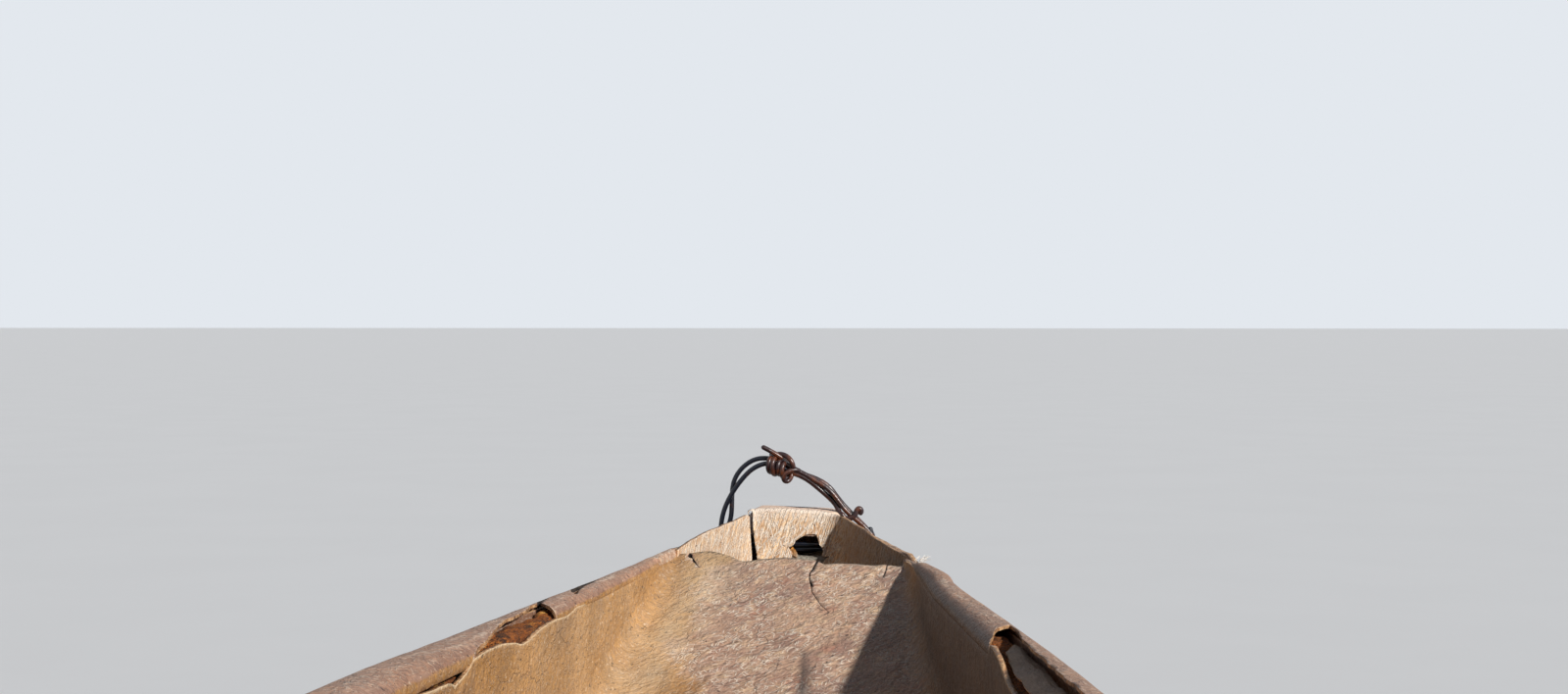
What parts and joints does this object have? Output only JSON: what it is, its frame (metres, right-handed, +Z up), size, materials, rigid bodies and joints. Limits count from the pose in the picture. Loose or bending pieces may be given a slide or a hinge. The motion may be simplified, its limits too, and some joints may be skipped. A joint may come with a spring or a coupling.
{
  "type": "dugout-form canoe",
  "caption": "Weathered double-skinned glass-fibre canoe in dugout form, with rolled rims, sloping ends, a broken open bow chamber and a twisted wire mooring loop.",
  "frame": {"origin": "on the floor under the middle of the hull's length and beam", "axes": "+X towards the bow with the wire loop, +Y to port, +Z up"},
  "size_m": [5.6, 0.65, 0.4821],
  "materials": {
    "outer_laminate": "weathered gelcoat",
    "inner_laminate": "worn glass mat and resin",
    "rim_laminate": "smooth worn gelcoat",
    "aged_foam": "crumbled foam",
    "rusty_wire": "rusted iron wire"
  },
  "bodies": {
    "hull": {"outer_hull": "outer_laminate", "inner_liner": "inner_laminate", "gunwale_left": "rim_laminate", "gunwale_right": "rim_laminate", "rim_foam_left": "aged_foam", "rim_foam_right": "aged_foam", "bow_head": "rim_laminate", "bow_tub": "inner_laminate", "stern_head": "rim_laminate", "stern_deck": "inner_laminate"},
    "mooring_loop": {"loop_strand_aft": "rusty_wire", "loop_strand_fore": "rusty_wire", "loop_knot": "rusty_wire", "loop_tail": "rusty_wire"}
  },
  "joints": [
    {"name": "loop_swing", "type": "hinge", "parent": "hull", "child": "mooring_loop", "pos_m": [2.752, 0, 0.3745], "axis": [0, 1, 0], "range_deg": [-18, 26]}
  ]
}
